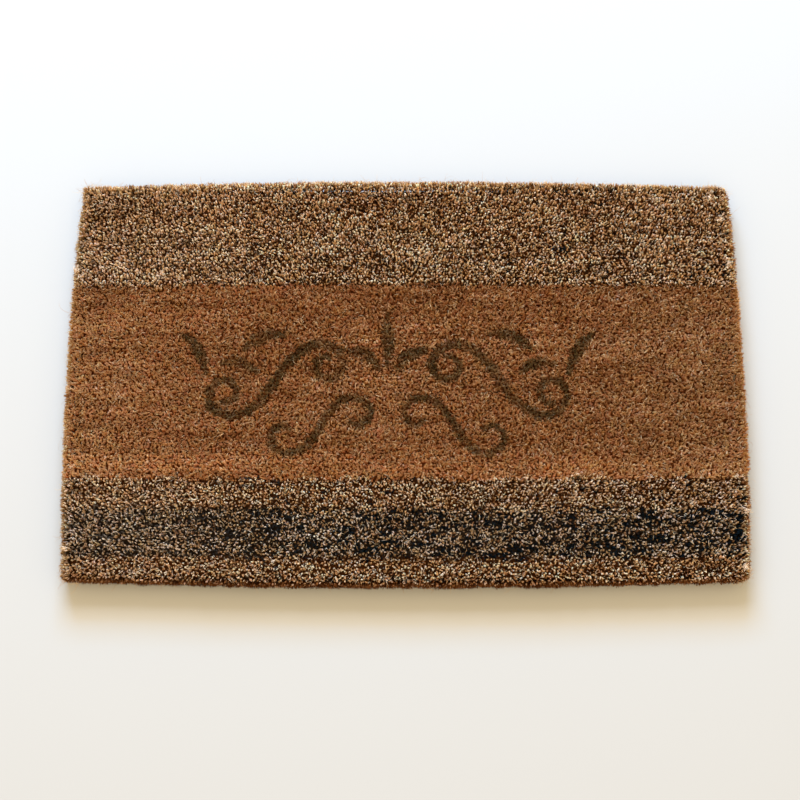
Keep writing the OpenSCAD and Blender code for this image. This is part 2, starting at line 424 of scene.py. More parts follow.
def calm(colours, x, plain):
    """Brings the colours nearer to the mean of their kind of pile, most of all at the left."""
    share = 0.24 * (1 - ramp(x, -360 * MM, -60 * MM)) + np.where(plain, 0.15, 0)
    for kind in (plain, ~plain):
        if kind.any():
            colours[kind] += (colours[kind].mean((0, 1)) - colours[kind]) * share[kind, None, None]


def tuft_colours(x, y, line, rng):
    """One colour per fibre of each tuft: (tufts, fibres, 3). Rows and their stretches differ a little."""
    shape = (len(x), FIBRES_PER_TUFT)
    # Where two groups meet, their rows wander over each other
    wandering = line / LINES_PER_ROW + 0.45 * noise(x, line * 1.0, 9 * MM, 2.0, SEED + 3)
    groups = np.array(GROUP_OF_ROW)[np.clip(wandering.astype(int), 0, ROWS - 1)]
    plain = np.char.startswith(groups, "middle")
    row = np.floor(line / LINES_PER_ROW)
    streak = noise(x, row, 110 * MM, 1.0, SEED + 1) + 0.6 * noise(x, row, 30 * MM, 1.0, SEED + 2)
    chance = np.clip(rng.uniform(0, 1, len(x)) - 0.10 * streak, 0, 0.9999)
    own_chance = np.where(rng.uniform(0, 1, shape) < 0.3, rng.uniform(0, 1, shape), chance[:, None])
    colours = pick_colours(np.repeat(groups[:, None], FIBRES_PER_TUFT, 1), own_chance)
    inked = inked_tufts(x, line, groups, rng)
    colours[inked] = INK_BLUE * rng.uniform(0.5, 2.0, (inked.sum(), FIBRES_PER_TUFT, 1))
    calm(colours, x, plain)

    # Light and dark streaks, stretches and patches, and single fibres
    varied = 1 + np.where(plain, 0.14, 0.07) * streak
    varied *= 1 + np.where(plain, 0.09, 0.05) * noise(x, line * 1.0, 15 * MM, 1.0, SEED + 18)
    varied *= 1 + np.where(plain, 0.10, 0.05) * noise(x, y, 11 * MM, 8 * MM, SEED + 15)
    own_spread = np.where(plain, 0.055, np.where(y < 0, 0.17, 0.13))
    own = varied[:, None] * (1 + rng.normal(0, 1, shape) * own_spread[:, None])
    own = np.clip(own, 0.3, None)[..., None] ** PALER_WHEN_BRIGHT
    colours = colours * tuft_brightness(x, groups, plain)[:, None, None] * own

    # Yellower and paler patches, and paler ends of the plain band
    yellow = noise(x, y, 6 * MM, 5 * MM, SEED + 16) + 0.3 * rng.normal(0, 1, len(x))
    pale = 0.6 * yellow + noise(x, y, 5 * MM, 6 * MM, SEED + 17) + 0.3 * rng.normal(0, 1, len(x))
    at_ends = ramp(np.abs(x + 20 * MM), 210 * MM, 330 * MM)
    green = np.clip(1 + np.where(plain, 0.10, 0.07) * yellow, 0.8, 1.3)
    blue = np.clip(1 + np.where(plain, 0.16, 0.09) * pale, 0.6, 1.5)
    colours[..., 1] *= (green * np.where(plain, 0.975 + 0.09 * at_ends, 1))[:, None]
    colours[..., 2] *= (blue * np.where(plain, 1 + 0.15 * at_ends, 1))[:, None]
    colours[groups == "front_dark_tufts"] *= COOL_TINT
    return colours


# ---- Stencilled ornament: mirrored scrolls and leaves ----
ORNAMENT_X, ORNAMENT_Y = -20 * MM, -3 * MM


def scroll(tip_a, tip_b, turns, wind, middle, end, steps=220):
    """An S-shaped scroll from one curl's eye to the other's, as points and half widths. Its heading turns
    this many times on each side of its middle, and wind says how much faster it turns near the eyes."""
    t = (np.arange(steps) + 0.5) / steps * 2 - 1
    heading = 2 * math.pi * turns * np.abs(t) ** wind
    points = np.concatenate([[[0, 0]], np.cumsum(np.stack([np.cos(heading), np.sin(heading)], -1), 0)])
    span, want = points[-1], np.subtract(tip_b, tip_a)
    turn = math.atan2(want[1], want[0]) - math.atan2(span[1], span[0])
    size = np.hypot(*want) / np.hypot(*span) * MM
    c, s = size * math.cos(turn), size * math.sin(turn)
    t = np.linspace(-1, 1, len(points))
    half_width = (end + (middle - end) * (1 - t * t)) * MM
    return points @ np.array([[c, s], [-s, c]]) + np.array(tip_a) * MM, half_width


def leaf_width(t, widest):
    """The half width of a leaf or bud along its length, where t runs from 0 to 1."""
    return widest * MM * np.sin(math.pi * (0.1 + 0.86 * t)) ** 0.8


def leaf(x, y, heading, length, bend, width):
    """A curved leaf from (x, y), as points and half widths."""
    t = np.linspace(0, 1, 36)
    angle = math.radians(heading) + bend * t
    step = length * MM / len(t) * np.stack([np.cos(angle), np.sin(angle)], -1)
    return np.array([x, y]) * MM + np.cumsum(step, 0), leaf_width(t, width)


def ornament():
    """The strokes: scrolls and leaves that mirror each other, with a bud in the middle. Sizes are in mm."""
    half = [
        scroll((66, 26), (184, -26), 1.2, 2.1, 5.6, 3.8),
        scroll((40, -48), (108, -56), 0.8, 2.0, 4.8, 3.6),
        leaf(116, 52, 10, 52, -1.1, 7.0),
        leaf(204, 6, 84, 58, -0.9, 6.8),
        leaf(146, 8, 42, 46, -1.0, 6.2),
        leaf(10, 12, 68, 48, -1.4, 6.8),
    ]
    strokes = half + [(points * [-1, 1], wide) for points, wide in half]
    t = np.linspace(0, 1, 30)
    strokes.append((np.stack([0 * t, (18 + 58 * t) * MM], -1), leaf_width(t, 7.2)))
    return strokes


STROKES = ornament()


def stencil(x, y, rng):
    """How much dye each tuft took, from 0 to 1."""
    x, y = x - ORNAMENT_X, y - ORNAMENT_Y
    near = np.full(len(x), 9.0)
    margin = 12 * MM
    for points, half in STROKES:
        (low_x, low_y), (high_x, high_y) = points.min(0) - margin, points.max(0) + margin
        inside = np.where((x > low_x) & (x < high_x) & (y > low_y) & (y < high_y))[0]
        if len(inside):
            d = np.hypot(x[inside, None] - points[:, 0], y[inside, None] - points[:, 1]) - half
            near[inside] = np.minimum(near[inside], d.min(1))
    ragged = rng.normal(0, 1.0, len(x)) * MM
    wide_wear = noise(x, y, 18 * MM, 18 * MM, SEED + 9)
    small_wear = noise(x, y, 5 * MM, 4 * MM, SEED + 18)
    worn = 0.84 + 0.22 * wide_wear + 0.22 * small_wear
    return smooth(0.5 - (near + ragged) / (2.4 * MM)) * np.clip(worn, 0, 1)


# ---- The pile over the whole mat ----

def pile_tufts():
    """Places of all tufts: (u, v), each from -1 to 1, and each one's line."""
    rng = np.random.default_rng(SEED)
    line, place = np.meshgrid(np.arange(LINES), np.arange(TUFTS_PER_LINE), indexing="ij")
    shift = (line % 2) * 0.5
    jitter, limit = 0.36, 0.999
    u = (place + 0.25 + shift + rng.uniform(-jitter, jitter, line.shape)) / TUFTS_PER_LINE * 2 - 1
    v = (line + 0.5 + rng.uniform(-jitter, jitter, line.shape)) / LINES * 2 - 1
    return np.clip(u, -limit, limit).ravel(), np.clip(v, -limit, limit).ravel(), line.ravel()


def edge_nearness(u, v, width):
    """0 in the middle of the mat, rising to 1 at its edge over this width."""
    return (
        np.clip((np.abs(u) * HALF_X - HALF_X + width) / width, 0, 1),
        np.clip((np.abs(v) * HALF_Y - HALF_Y + width) / width, 0, 1),
    )


def edge_tint_and_front_shade(u, v):
    """RGB factors for colours at these places, which differ from 1 near the edges: paler at the back and the
    sides, and painted shade at the front.
    """
    gaps = {
        "back": (1 - v) * HALF_Y, "front": (1 + v) * HALF_Y,
        "left": (1 + u) * HALF_X, "right": (1 - u) * HALF_X,
    }
    tint = np.ones((len(u), 3))
    for side, (factors, width) in EDGE_TINTS_AND_FRONT_SHADE.items():
        share = 1 - smooth(gaps[side] / width)
        tint *= 1 + share[:, None] * (np.array(factors) - 1)
    return tint


def tuft_fibres(u, v, line, kind, rng):
    """Centres, radii and colours of all fibres of these tufts."""
    n = len(u)
    inset = (1.6 + rng.normal(0, 0.9, n)) * MM
    x, y = spread(u * (1 - inset / HALF_X), v * (1 - inset / HALF_Y))
    near_x, near_y = edge_nearness(u, v, EDGE_WIDTH)
    near = np.maximum(near_x, near_y)
    lean_size = np.abs(rng.normal(1.9, 1.0, n)) * MM
    lean_turn = rng.uniform(0, 2 * math.pi, n)
    trodden_x, trodden_y = (
        (1 - near) * TRODDEN_LEAN * noise(x, y, 32 * MM, 20 * MM, seed) for seed in (SEED + 20, SEED + 21)
    )
    root_x = x - lean_size * np.cos(lean_turn) - trodden_x - np.sign(u) * EDGE_SPLAY * near_x ** 1.5
    root_y = y - lean_size * np.sin(lean_turn) - trodden_y - np.sign(v) * EDGE_SPLAY * near_y ** 1.5
    tip_z = TOP_Z - 0.7 * MM + rng.normal(0, kind.tuft_rough, n)
    tip_z += 0.35 * MM * noise(x, y, 45 * MM, 30 * MM, SEED + 5)
    tip_z -= EDGE_DROP * near ** 3
    # Each tuft's cut end is an ellipse, turned at random, with the fibres at random places in it
    turn = rng.uniform(0, math.pi, n)[:, None]
    shape = (n, FIBRES_PER_TUFT)
    reach = np.sqrt(rng.uniform(0, 1, shape))
    angle = rng.uniform(0, 2 * math.pi, shape)
    a, b = reach * np.cos(angle) * kind.tip[0], reach * np.sin(angle) * kind.tip[1]
    off_x, off_y = a * np.cos(turn) - b * np.sin(turn), a * np.sin(turn) + b * np.cos(turn)
    tips = np.stack([
        x[:, None] + off_x, y[:, None] + off_y,
        tip_z[:, None] + rng.normal(0, kind.fibre_rough, shape) - 0.25 * MM * reach,
    ], -1)
    roots = np.stack([
        root_x[:, None] + 0.35 * off_x, root_y[:, None] + 0.35 * off_y,
        ROOT_Z - 2.5 * MM * near[:, None] + np.zeros(shape),
    ], -1)
    # Near the edges the colours change, with painted shade along the front rim
    colour = tuft_colours(x, y, line, rng) * edge_tint_and_front_shade(u, v)[:, None]
    if kind.dyed:
        stain = (stencil(x, y, rng)[:, None] * rng.uniform(0.6, 1.0, shape))[..., None]
        colour = colour + (STENCIL * rng.uniform(0.5, 1.6, shape + (1,)) - colour) * stain
    radii = kind.fibre_r * rng.uniform(0.75, 1.15, shape)
    # The roots take painted shade from the colour factor at the roots
    return (
        np.stack([roots, tips], 2).reshape(-1, 2, 3),
        np.stack([radii, radii * 0.92], 2).reshape(-1, 2),
        np.stack([colour * kind.root_shade_tint, colour], 2).reshape(-1, 2, 3),
    )


def loose_fibres(u, v, kind, rng):
    """Fibres that lie bent over on the shorn surface, with both ends down in the pile."""
    n = int(kind.loose_per_m2 * 4 * HALF_X * HALF_Y * len(u) / (LINES * TUFTS_PER_LINE))
    some = rng.choice(len(u), n)
    x, y = spread(u[some] * 0.985, v[some] * 0.975)
    heading = rng.uniform(0, 2 * math.pi, n)
    half = rng.uniform(1.3, 3.6, n) * MM
    across = rng.normal(0, 0.3, n) * half
    run_x, run_y = np.cos(heading) * half, np.sin(heading) * half
    top = TOP_Z + rng.normal(-0.1, 0.3, n) * MM
    end_z = top - rng.uniform(0.5, 2.0, n) * MM
    centres = np.stack([
        np.stack([x - run_x, y - run_y, end_z], -1),
        np.stack([x - across * np.sin(heading), y + across * np.cos(heading), top], -1),
        np.stack([x + run_x, y + run_y, end_z], -1),
    ], 1)
    colour = kind.loose_colours[rng.choice(4, n, p=kind.loose_shares)]
    if kind.dyed:
        stain = 0.8 * stencil(x, y, rng)[:, None]
        colour = colour + (STENCIL - colour) * stain
    colour = colour * np.clip(rng.normal(0.85, 0.18, n), 0.4, 1.2)[:, None]
    radii = np.outer(rng.uniform(0.15, 0.25, n), [0.8, 1.0, 0.7]) * MM
    return centres, radii, np.repeat(colour[:, None], 3, 1)


def outward(u, v):
    """Unit directions along the outline and outward at these points of it: run_x, run_y, out_x, out_y."""
    nudge = 0.004
    on_side = np.abs(u) > np.abs(v)
    ahead = spread(np.where(on_side, u, u + nudge), np.where(on_side, v + nudge, v))
    behind = spread(np.where(on_side, u, u - nudge), np.where(on_side, v - nudge, v))
    run_x, run_y = ahead[0] - behind[0], ahead[1] - behind[1]
    size = np.hypot(run_x, run_y)
    run_x, run_y = run_x / size, run_y / size
    x, y = spread(u, v)
    flip = np.where(run_y * x - run_x * y > 0, 1, -1)
    return run_x, run_y, run_y * flip, -run_x * flip


def side_fibres(u, v, kind, rng):
    """Fibres that stick out of the pile's side at these points of its outline, in a rounded fringe."""
    n = len(u)
    x, y = spread(u, v)
    run_x, run_y, out_x, out_y = outward(u, v)
    height = rng.uniform(0, 1, n) ** 0.8
    tip_z = SIDE_LOW_Z + (SIDE_HIGH_Z - SIDE_LOW_Z) * height
    # The tips reach out furthest a little above half height, and clumps of them further still
    bulge = 1 - ((height - 0.55) / 0.62) ** 2
    slanted = (x + y, x - y)
    clump = noise(*slanted, 9 * MM, 9 * MM, SEED + 11) + 0.8 * noise(*slanted, 3.5 * MM, 3.5 * MM, SEED + 12)
    clump_size = np.where(u > 0.99, 1.7, 1.1)
    reach = (-3.0 + 2.3 * bulge + clump_size * clump + rng.normal(0, 0.8, n)) * MM
    slant = rng.normal(0, 2.4, n) * MM
    depth = rng.uniform(6, 10, n) * MM
    tip = np.stack([x + out_x * reach + run_x * slant, y + out_y * reach + run_y * slant, tip_z], -1)
    root_z = 8 * MM + 0.4 * np.clip(tip_z - 8 * MM, -3 * MM, None) + rng.uniform(0, 1.5, n) * MM
    root = np.stack([x - out_x * depth, y - out_y * depth, root_z], -1)
    sway = [run_x * rng.normal(0, 0.5, n), run_y * rng.normal(0, 0.5, n), rng.uniform(0.2, 1.4, n)]
    middle = (tip + root) / 2 + np.stack(sway, -1) * MM
    stretch = noise(*slanted, 14 * MM, 14 * MM, SEED + 13)
    # The front edge is the darkest, painted shade on the side that faces away from the window, and the back
    # and left edges are the palest
    darker = np.where(np.abs(u) > np.abs(v), np.where(u > 0, 0.0, -0.14), np.where(v > 0, -0.16, 0.34))
    chance = np.clip(rng.uniform(0, 1, n) + 0.35 * stretch + darker, 0, 0.999)
    colour = kind.fringe_colours[np.searchsorted([0.12, 0.40, 0.75], chance)]
    # Lower fibres are darker, painted shade under the pile's top, and each fibre's tone differs at random;
    # near the front the edge tint adds painted shade too
    shade = (0.5 + 0.5 * height) * (1 + rng.normal(0, 0.2, n))
    colour = colour * np.minimum(edge_tint_and_front_shade(u, v), SIDE_TINT) * shade[:, None]
    radii = FIBRE_R * rng.uniform(0.5, 0.85, n)
    # Roots and middles are darker than the tips: painted shade inside the pile
    return (
        np.stack([root, middle, tip], 1), np.stack([radii, radii, radii * 0.7], 1),
        np.stack([colour * 0.4, colour * 0.8, colour], 1),
    )


def outline_places(low_v, high_v, rng):
    """Random points (u, v) on the outline between two v, with the front or back edge if v reaches it."""
    u, v = [], []
    for side in (-1, 1):
        count = int(SIDE_FIBRES_PER_METRE * (high_v - low_v) * HALF_Y)
        u.append(np.full(count, float(side)))
        v.append(rng.uniform(low_v, high_v, count))
        if side in (low_v, high_v):
            count = int(SIDE_FIBRES_PER_METRE * 2 * HALF_X)
            u.append(rng.uniform(-1, 1, count))
            v.append(np.full(count, float(side)))
    return np.concatenate(u), np.concatenate(v)


def build_pile():
    """The pile of every group of rows: pieces with its tufts, and one with its fringe and loose fibres."""
    pieces = []
    u, v, line = pile_tufts()
    row = line // LINES_PER_ROW
    first = 0
    for number, (node, count) in enumerate(ROW_GROUPS):
        rng = np.random.default_rng(SEED + 100 + number)
        here = np.where((row >= first) & (row < first + count))[0]
        here = here[np.argsort(u[here], kind="stable")]
        runs = max(2, math.ceil(len(here) * FIBRES_PER_TUFT / MAX_FIBRES_PER_PIECE))
        kind = PLAIN_PILE if node.startswith("middle") else SPECKLED_PILE
        made = []
        for run, some in enumerate(np.array_split(here, runs)):
            fibres = tuft_fibres(u[some], v[some], line[some], kind, rng)
            made.append(fibre_piece(f"{node}_{run + 1}", *fibres, PILE_MAT, level=True))
        low_v, high_v = first / ROWS * 2 - 1, (first + count) / ROWS * 2 - 1
        fringe = side_fibres(*outline_places(low_v, high_v, rng), kind, rng)
        loose = loose_fibres(u[here], v[here], kind, rng)
        both = [np.concatenate(pair) for pair in zip(fringe, loose)]
        made.append(fibre_piece(f"{node}_fringe", *both, PILE_MAT, level=False))
        for piece in made:
            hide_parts(node)
        pieces += made
        first += count
    return pieces


STRAY_FIBRES = 900
# Places (u, v) of the frayed tufts
FRAYED_SPOTS = [
    (-0.985, -0.84), (-0.99, 0.55), (0.94, 0.93), (0.965, 0.82), (0.975, 0.58), (0.985, -0.66), (0.98, -0.93),
]
FIBRES_PER_FRAY = 22


def build_strays():
    """Single long fibres that have come loose at the edges, most of them at the back edge and the corners."""
    rng = np.random.default_rng(SEED + 300)
    count, rings = STRAY_FIBRES, 9
    # The edges are numbered back, front, left and right
    edge = rng.choice(4, count, p=[0.46, 0.16, 0.18, 0.20])
    place = rng.uniform(-1, 1, count)
    at_corner = rng.uniform(0, 1, count) < 0.3
    place = np.where(at_corner, np.sign(place) * (1 - 0.06 * np.abs(place)), place)
    ones = np.ones(count)
    u = np.choose(edge, [place, place, -ones, ones])
    v = np.choose(edge, [ones, -ones, place, place])
    x, y = spread(u, v)
    heading = np.radians(np.choose(edge, [90, 270, 180, 0]) + rng.normal(0, 38, count))
    curl = rng.normal(0, 0.9, count)
    length = rng.gamma(2.0, 2.0, count) * MM + 3 * MM
    along = np.linspace(0, 1, rings)
    angle = heading[:, None] + curl[:, None] * along ** 1.5
    step = length[:, None] / rings
    run_x, run_y = np.cumsum(np.cos(angle) * step, 1), np.cumsum(np.sin(angle) * step, 1)
    rise = rng.uniform(8, 20, count)[:, None] * MM
    z = rise + (rng.normal(0, 0.25, count)[:, None] * along - 0.3 * along ** 2) * length[:, None]
    inset = 3 * MM
    centres = np.stack([
        (x - np.cos(heading) * inset)[:, None] + run_x, (y - np.sin(heading) * inset)[:, None] + run_y,
        np.clip(z, 0.5 * MM, None),
    ], -1)
    radii = rng.uniform(0.09, 0.19, count)[:, None] * MM * (1 - 0.5 * along)
    colour = np.where((rng.uniform(0, 1, count) < 0.5)[:, None], STRAW, AMBER * 0.8)
    colours = np.repeat(colour[:, None], rings, 1)
    piece = fibre_piece("stray_fibres", centres, radii, colours, PILE_MAT, level=False)
    return piece


def build_frays():
    """Pale tufts near the sides that have come apart and lie over their neighbours."""
    rng = np.random.default_rng(SEED + 310)
    spots = np.array(FRAYED_SPOTS)
    which = np.repeat(np.arange(len(spots)), FIBRES_PER_FRAY)
    n = len(which)
    x, y = spread(spots[which, 0], spots[which, 1])
    heading = rng.uniform(-1, 1, len(spots))[which] + rng.normal(0, 0.5, n)
    half = rng.uniform(1.5, 3.2, n) * MM
    run_x, run_y = np.cos(heading) * half, np.sin(heading) * half
    x, y = x + rng.normal(0, 1.6, n) * MM, y + rng.normal(0, 1.6, n) * MM
    top = TOP_Z + rng.uniform(-1.2, 0.3, n) * MM
    centres = np.stack([
        np.stack([x - run_x, y - run_y, top - 2.5 * MM], -1),
        np.stack([x, y, top], -1),
        np.stack([x + run_x, y + run_y, top - 0.4 * MM], -1),
    ], 1)
    radii = np.outer(rng.uniform(0.2, 0.32, n), [1, 1, 0.7]) * MM
    colours = np.repeat((CREAM * rng.uniform(0.8, 1.1, (n, 1)))[:, None], 3, 1)
    piece = fibre_piece("frayed_fibres", centres, radii, colours, PILE_MAT, level=False)
    return piece


# ---- Bed of tuft roots, and the loops under it ----
X_AXIS, Y_AXIS = (1, 0, 0), (0, 1, 0)
LOOP_PITCH = CHAIN_PITCH / 2
LOOPS_HALF_X = 58.5 * LOOP_PITCH
BED_FLAT = (0.740, 0.447)
BED_CELLS = (150, 100)
BED_LOW_Z = 4.4 * MM
# The bed's wall has a shelf between these heights, where the underside is smaller than the top
SHELF_LOW_Z, SHELF_HIGH_Z = 6.6 * MM, 7.2 * MM


def bed_tones(gv, low, walls):
    """Colours of the bed's points: the top by its groups of rows, the underside lumpy, the walls plain."""
    top = np.zeros((len(low), 3)) + RUSSET * 0.35
    groups = np.array(GROUP_OF_ROW)[np.clip(((gv.ravel() + 1) / 2 * ROWS).astype(int), 0, ROWS - 1)]
    top[groups == "front_dark_tufts"] = SLATE + BROWN * 0.12
    top[np.char.startswith(groups, "middle")] = RUSSET * 0.8
    lump = noise(low[:, 0], low[:, 1], 5 * MM, 5 * MM, SEED + 10)
    underside = BROWN * (0.6 + 0.2 * lump)[:, None]
    return np.concatenate([top, underside, np.zeros((walls, 3)) + RUSSET * 0.35])


def build_bed():
    """The solid layer that the tufts' wrapped roots make round the ground weave, knobbly on its underside."""
    nx, ny = BED_CELLS
    gu, gv = np.meshgrid(np.linspace(-1, 1, nx + 1), np.linspace(-1, 1, ny + 1), indexing="ij")
    top_x, top_y = gu * BED_FLAT[0] / 2, gv * BED_FLAT[1] / 2
    low_x, low_y = gu * LOOPS_HALF_X, gv * ROWS / 2 * ROW_PITCH * 0.98
    near = np.maximum(*edge_nearness(gu, gv, 9 * MM))
    lumps, low_lumps = (
        noise(gu * HALF_X, gv * HALF_Y, 6 * MM, 6 * MM, seed) for seed in (SEED + 7, SEED + 8)
    )
    top_z = BED_TOP_Z + 0.8 * MM * lumps - 2.5 * MM * near ** 2
    low_z = BED_LOW_Z + 0.5 * MM * low_lumps
    top = np.stack([top_x, top_y, top_z], -1).reshape(-1, 3)
    low = np.stack([low_x, low_y, low_z], -1).reshape(-1, 3)
    index = np.arange((nx + 1) * (ny + 1)).reshape(nx + 1, ny + 1)
    grid = np.stack([index[:-1, :-1], index[1:, :-1], index[1:, 1:], index[:-1, 1:]], -1).reshape(-1, 4)
    rim = np.concatenate([index[:-1, 0], index[-1, :-1], index[:0:-1, -1], index[0, :0:-1]])
    count, around = len(top), len(rim)
    shelf_low, shelf_high = low[rim].copy(), top[rim].copy()
    shelf_low[:, 2], shelf_high[:, 2] = SHELF_LOW_Z, SHELF_HIGH_Z
    points = np.concatenate([top, low, shelf_low, shelf_high])
    shelf = 2 * count + np.arange(around)
    loops = [count + rim, shelf, shelf + around, rim]
    walls = np.concatenate([
        np.stack([a, np.roll(a, -1), np.roll(b, -1), b], -1) for a, b in zip(loops[:-1], loops[1:])
    ])
    faces = np.concatenate([grid, grid[:, ::-1] + count, walls])
    # The top, the underside and the walls each have their own part of the UV square
    flat_uv = np.stack([points[:, 0] + HALF_X, points[:, 1] + HALF_Y], -1) / (2.1 * HALF_X)
    top_uv = flat_uv[grid] * [1, 0.78]
    low_uv = flat_uv[grid[:, ::-1] + count] * [1, 0.78] + [0, 0.47]
    wall_run = np.arange(len(walls))[:, None] / len(walls)
    wall_u = wall_run + np.array([0, 0.9, 0.9, 0]) / len(walls)
    wall_v = 0.95 + 0.02 * np.array([0, 0, 1, 1]) + 0 * wall_run
    uv = np.concatenate([top_uv, low_uv, np.stack([wall_u, wall_v], -1)])
    bed = make_piece(
        "tuft_root_bed", points, faces_3=np.zeros((0, 3), int), faces_4=faces, uv_3=np.zeros((0, 3, 2)),
        uv_4=uv, colours=bed_tones(gv, low, 2 * around), material=BED_MAT,
    )
    return bed


def build_root_loops():
    """The loops by which the pile yarn wraps the warp under each row of tufts, in a front and a back half."""
    columns = round(2 * LOOPS_HALF_X / LOOP_PITCH)
    x = (np.arange(columns) + 0.5) * LOOP_PITCH - LOOPS_HALF_X
    turn = np.radians(np.linspace(-78, 78, 5))
    groups = np.array(GROUP_OF_ROW)
    pieces = []
    for half, rows in (("front", np.arange(ROWS // 2)), ("back", np.arange(ROWS // 2, ROWS))):
        rng = np.random.default_rng(SEED + 80 + rows[0])
        column, row = [grid.ravel() for grid in np.meshgrid(x, rows, indexing="ij")]
        n = len(row)
        centres = np.zeros((n, len(turn), 3))
        slant = rng.normal(0.7, 0.25, n)[:, None] * MM
        centres[..., 0] = (column + rng.normal(0, 0.35, n) * MM)[:, None] + slant * np.sin(turn)
        centres[..., 1] = ((row - (ROWS - 1) / 2) * ROW_PITCH)[:, None] + 2.4 * MM * np.sin(turn)
        centres[..., 2] = 4.9 * MM - rng.normal(3.0, 0.12, n)[:, None] * MM * np.cos(turn)
        colour = pick_colours(groups[row], rng.uniform(0.1, 0.999, n)) * 0.55
        colour = np.clip(colour, SOOT, None) * rng.uniform(0.75, 1.25, (n, 1))
        piece = yarn_piece(
            f"root_loops_{half}", centres, radius=1.45 * MM, sides=6, lateral=X_AXIS, tone=colour[:, None],
            material=YARN_MAT, vary=0.12,
        )
        pieces.append(piece)
    return pieces


# ---- Ground weave ----

def replace(piece, node):
    """Hides the CAD node, whose place the piece takes."""
    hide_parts(node)
    return piece


def build_chains(node, phase):
    """Two-ply warp yarns that pass over one pick and under the next. phase is 1 for the odd chains."""
    low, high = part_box(node)
    ends = CHAIN_RISE * 0.42
    x = np.arange(low[0] + ends, high[0], 2 * CHAIN_PITCH)
    y = np.arange(low[1], high[1], 1.8 * MM)
    at_ends = smooth((high[1] - np.abs(y)) / ROW_PITCH + 0.3)
    rise = CHAIN_RISE * np.cos(math.pi * (y / ROW_PITCH + 1 + phase)) * at_ends
    centres = np.zeros((len(x), len(y), 3))
    centres[..., 0] = x[:, None]
    centres[..., 1] = y
    centres[..., 2] = PICK_Z + rise
    plies = twisted(centres, offset=0.5 * MM, pitch=9 * MM, count=2, lateral=X_AXIS, seed=20 + phase)
    piece = yarn_piece(
        f"{node}_yarns", plies, radius=0.58 * MM, sides=6, lateral=X_AXIS, tone=BROWN * 1.5,
        material=YARN_MAT,
    )
    return replace(piece, node)


def build_picks():
    """Two-ply weft yarns, straight from side to side, in a front half and a back half."""
    low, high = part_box("weft_picks")
    picks = round((high[1] - low[1]) / ROW_PITCH) + 1
    middle = (picks - 1) / 2
    x = np.arange(low[0], high[0], 3 * MM)
    pieces = []
    for half, rows in (("front", range(picks // 2)), ("back", range(picks // 2, picks))):
        centres = np.zeros((len(rows), len(x), 3))
        centres[..., 0] = x
        centres[..., 1] = np.array([(row - middle) * ROW_PITCH for row in rows])[:, None]
        centres[..., 2] = PICK_Z
        plies = twisted(centres, offset=0.56 * MM, pitch=14 * MM, count=2, lateral=Y_AXIS, seed=30)
        piece = yarn_piece(
            f"weft_picks_{half}", plies, radius=0.62 * MM, sides=5, lateral=Y_AXIS, tone=BROWN * 1.3,
            material=YARN_MAT,
        )
        pieces.append(replace(piece, "weft_picks"))
    return pieces


def build_braid(node):
    """A flat braid of three two-ply strands that stands on its edge over the warp ends."""
    low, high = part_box(node)
    braid_pitch = 15 * MM
    x = np.arange(low[0], high[0], 1.4 * MM)
    strands = []
    for strand in range(3):
        phase = 2 * math.pi * (x / braid_pitch + strand / 3)
        y = (low[1] + high[1]) / 2 + 0.75 * MM * np.sin(2 * phase)
        z = (low[2] + high[2]) / 2 + 1.7 * MM * np.sin(phase)
        strands.append(np.stack([x, y, z], -1))
    plies = twisted(np.array(strands), offset=0.5 * MM, pitch=8 * MM, count=2, lateral=Y_AXIS, seed=40)
    piece = yarn_piece(
        f"{node}_strands", plies, radius=0.68 * MM, sides=6, lateral=Y_AXIS, tone=BRAID, material=YARN_MAT,
    )
    return replace(piece, node)


def build_selvedge(node):
    """A cord of three plies along a side."""
    low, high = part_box(node)
    y = np.arange(low[1], high[1], 1.4 * MM)
    centre = np.stack([0 * y + (low[0] + high[0]) / 2, y, 0 * y + (low[2] + high[2]) / 2], -1)[None]
    plies = twisted(centre, offset=1.3 * MM, pitch=17 * MM, count=3, lateral=X_AXIS, seed=50)
    piece = yarn_piece(
        f"{node}_plies", plies, radius=1.25 * MM, sides=8, lateral=X_AXIS, tone=BRAID, material=YARN_MAT,
    )
    return replace(piece, node)


def build_fuzz(node, count):
    """Short fibre ends that stand off a braid or cord, outward and along it."""
    low, high = np.array(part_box(node))
    rng = np.random.default_rng(SEED + 70 + len(node))
    middle, half = (low + high) / 2, (high - low) / 2
    run = int(np.argmax(half))
    side = 1 - run
    away = np.sign(middle[side])
    turn = rng.uniform(-1.3, 1.3, count)
    root = np.tile(middle, (count, 1))
    root[:, run] += rng.uniform(-1, 1, count) * half[run]
    root[:, side] += away * 0.7 * half[side] * np.cos(turn)
    root[:, 2] += 0.7 * half[2] * np.sin(turn)
    length = rng.uniform(2, 5.5, count) * MM
    way = np.zeros((count, 3))
    way[:, run] = rng.normal(0, 1.0, count)
    way[:, side] = away * np.cos(turn)
    way[:, 2] = 0.7 * np.sin(turn)
    way *= (length / np.linalg.norm(way, axis=1))[:, None]
    bend = rng.normal(0, 0.18, (count, 3)) * length[:, None]
    centres = np.stack([root, root + way / 2 + bend, root + way], 1)
    centres[..., 2] = np.clip(centres[..., 2], 0.2 * MM, None)
    radii = np.outer(rng.uniform(0.06, 0.11, count), [1, 0.9, 0.6]) * MM
    colours = np.repeat((BRAID * rng.uniform(1, 2.2, (count, 1)))[:, None], 3, 1)
    return replace(fibre_piece(f"{node}_fuzz", centres, radii, colours, YARN_MAT, level=False), node)


